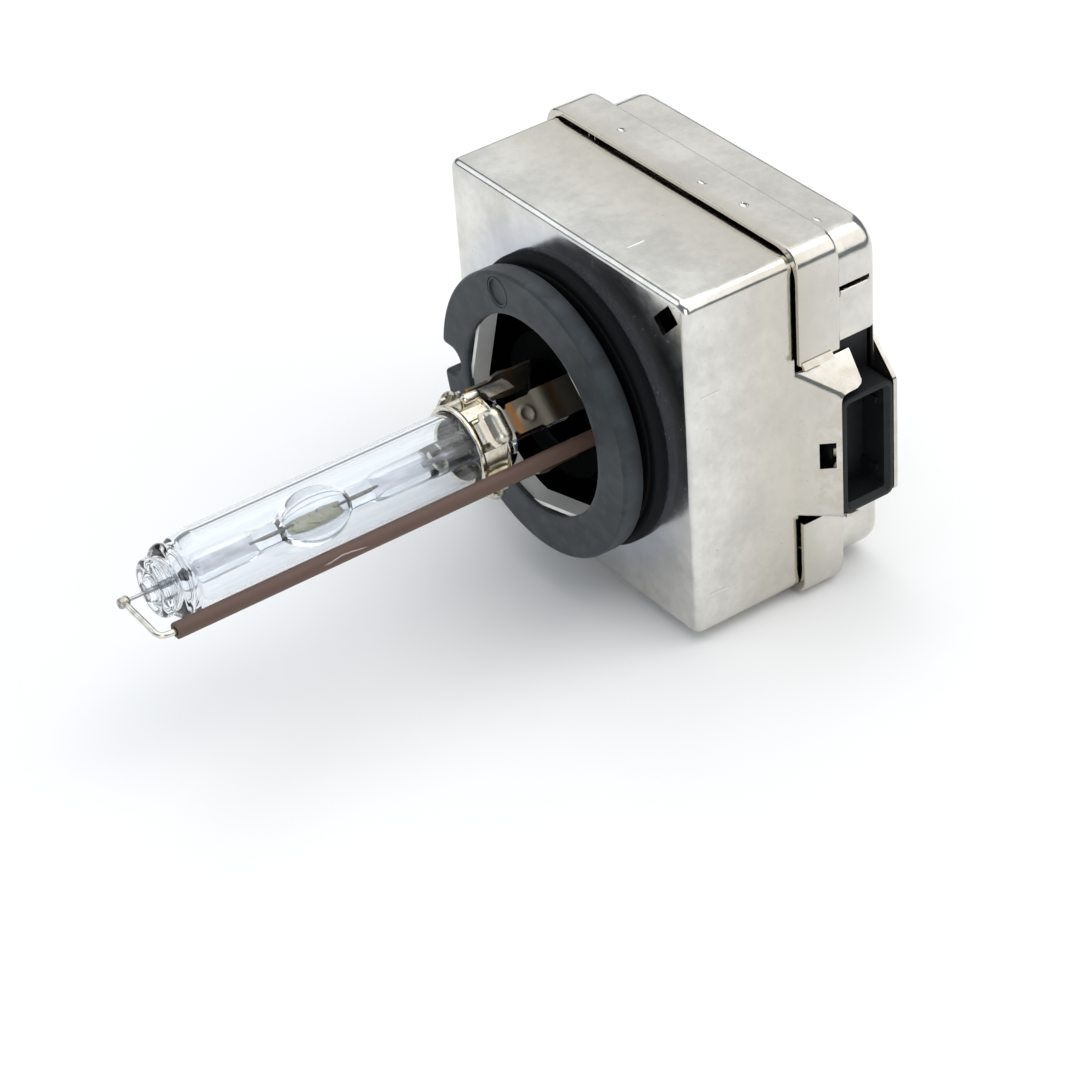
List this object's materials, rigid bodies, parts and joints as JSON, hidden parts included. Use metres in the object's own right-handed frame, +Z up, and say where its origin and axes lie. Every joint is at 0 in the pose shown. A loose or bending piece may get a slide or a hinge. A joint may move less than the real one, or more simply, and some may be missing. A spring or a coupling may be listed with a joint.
{
  "type": "gas discharge headlight bulb",
  "caption": "Gas-discharge headlight bulb: quartz burner in a sprung claw holder on a keyed round base, with a square metal igniter box and a side connector.",
  "frame": {"origin": "on the bulb's axis, in the front face of the base's keyed disc, which is the lamp's reference plane", "axes": "-Y runs along the bulb's axis towards its tip, +X points out of the connector socket, +Z is up"},
  "size_m": [0.0441, 0.0796, 0.0423],
  "materials": {
    "plated_steel": "satin nickel plating",
    "seal_rubber": "matt",
    "base_plastic": "fine mould texture",
    "insert_steel": "satin",
    "claw_steel": "satin, heat tinted",
    "band_steel": "bright",
    "jacket_quartz": "clear, polished",
    "vessel_quartz": "clear, fire polished",
    "metal_salts": "crystalline",
    "tungsten": "ground",
    "molybdenum": "satin",
    "weld_metal": "oxidised",
    "nickel_wire": "bright drawn",
    "brown_ceramic": "matt fired ceramic",
    "contact_brass": "satin",
    "connector_plastic": "satin",
    "pin_plating": "bright",
    "tray_plastic": "satin",
    "board_laminate": "solder resist",
    "ferrite": "ground",
    "bobbin_plastic": "natural nylon",
    "copper_wire": "enamelled",
    "white_ceramic": "glazed",
    "cap_nickel": "bright",
    "capacitor_case": "epoxy coated",
    "resistor_lacquer": "lacquer",
    "foam": "open foam"
  },
  "bodies": {
    "root": {"front_shell": "plated_steel", "rear_cover": "plated_steel", "seal_ring": "seal_rubber", "base_moulding": "base_plastic", "steel_insert": "insert_steel", "claw_1": "claw_steel", "claw_2": "claw_steel", "claw_3": "claw_steel", "clamp_band": "band_steel", "quartz_jacket": "jacket_quartz", "arc_tube": "vessel_quartz", "salt_pool": "metal_salts", "electrode_front": "tungsten", "electrode_rear": "tungsten", "foil_front": "molybdenum", "foil_rear": "molybdenum", "lead_front": "molybdenum", "lead_rear": "molybdenum", "weld_knob": "weld_metal", "return_wire": "nickel_wire", "ceramic_tube": "brown_ceramic", "hv_sleeve": "contact_brass", "hv_link": "contact_brass", "return_terminal": "contact_brass", "connector_housing": "connector_plastic", "pin_1": "pin_plating", "pin_2": "pin_plating", "pin_3": "pin_plating", "pin_4": "pin_plating", "igniter_tray": "tray_plastic", "circuit_board": "board_laminate", "transformer_core": "ferrite", "winding_bobbin": "bobbin_plastic", "secondary_winding": "copper_wire", "primary_winding": "copper_wire", "spark_gap_tube": "white_ceramic", "spark_gap_cap_a": "cap_nickel", "spark_gap_cap_b": "cap_nickel", "capacitor": "capacitor_case", "resistor": "resistor_lacquer", "ground_spring": "band_steel", "rear_pad": "foam"}
  },
  "joints": []
}
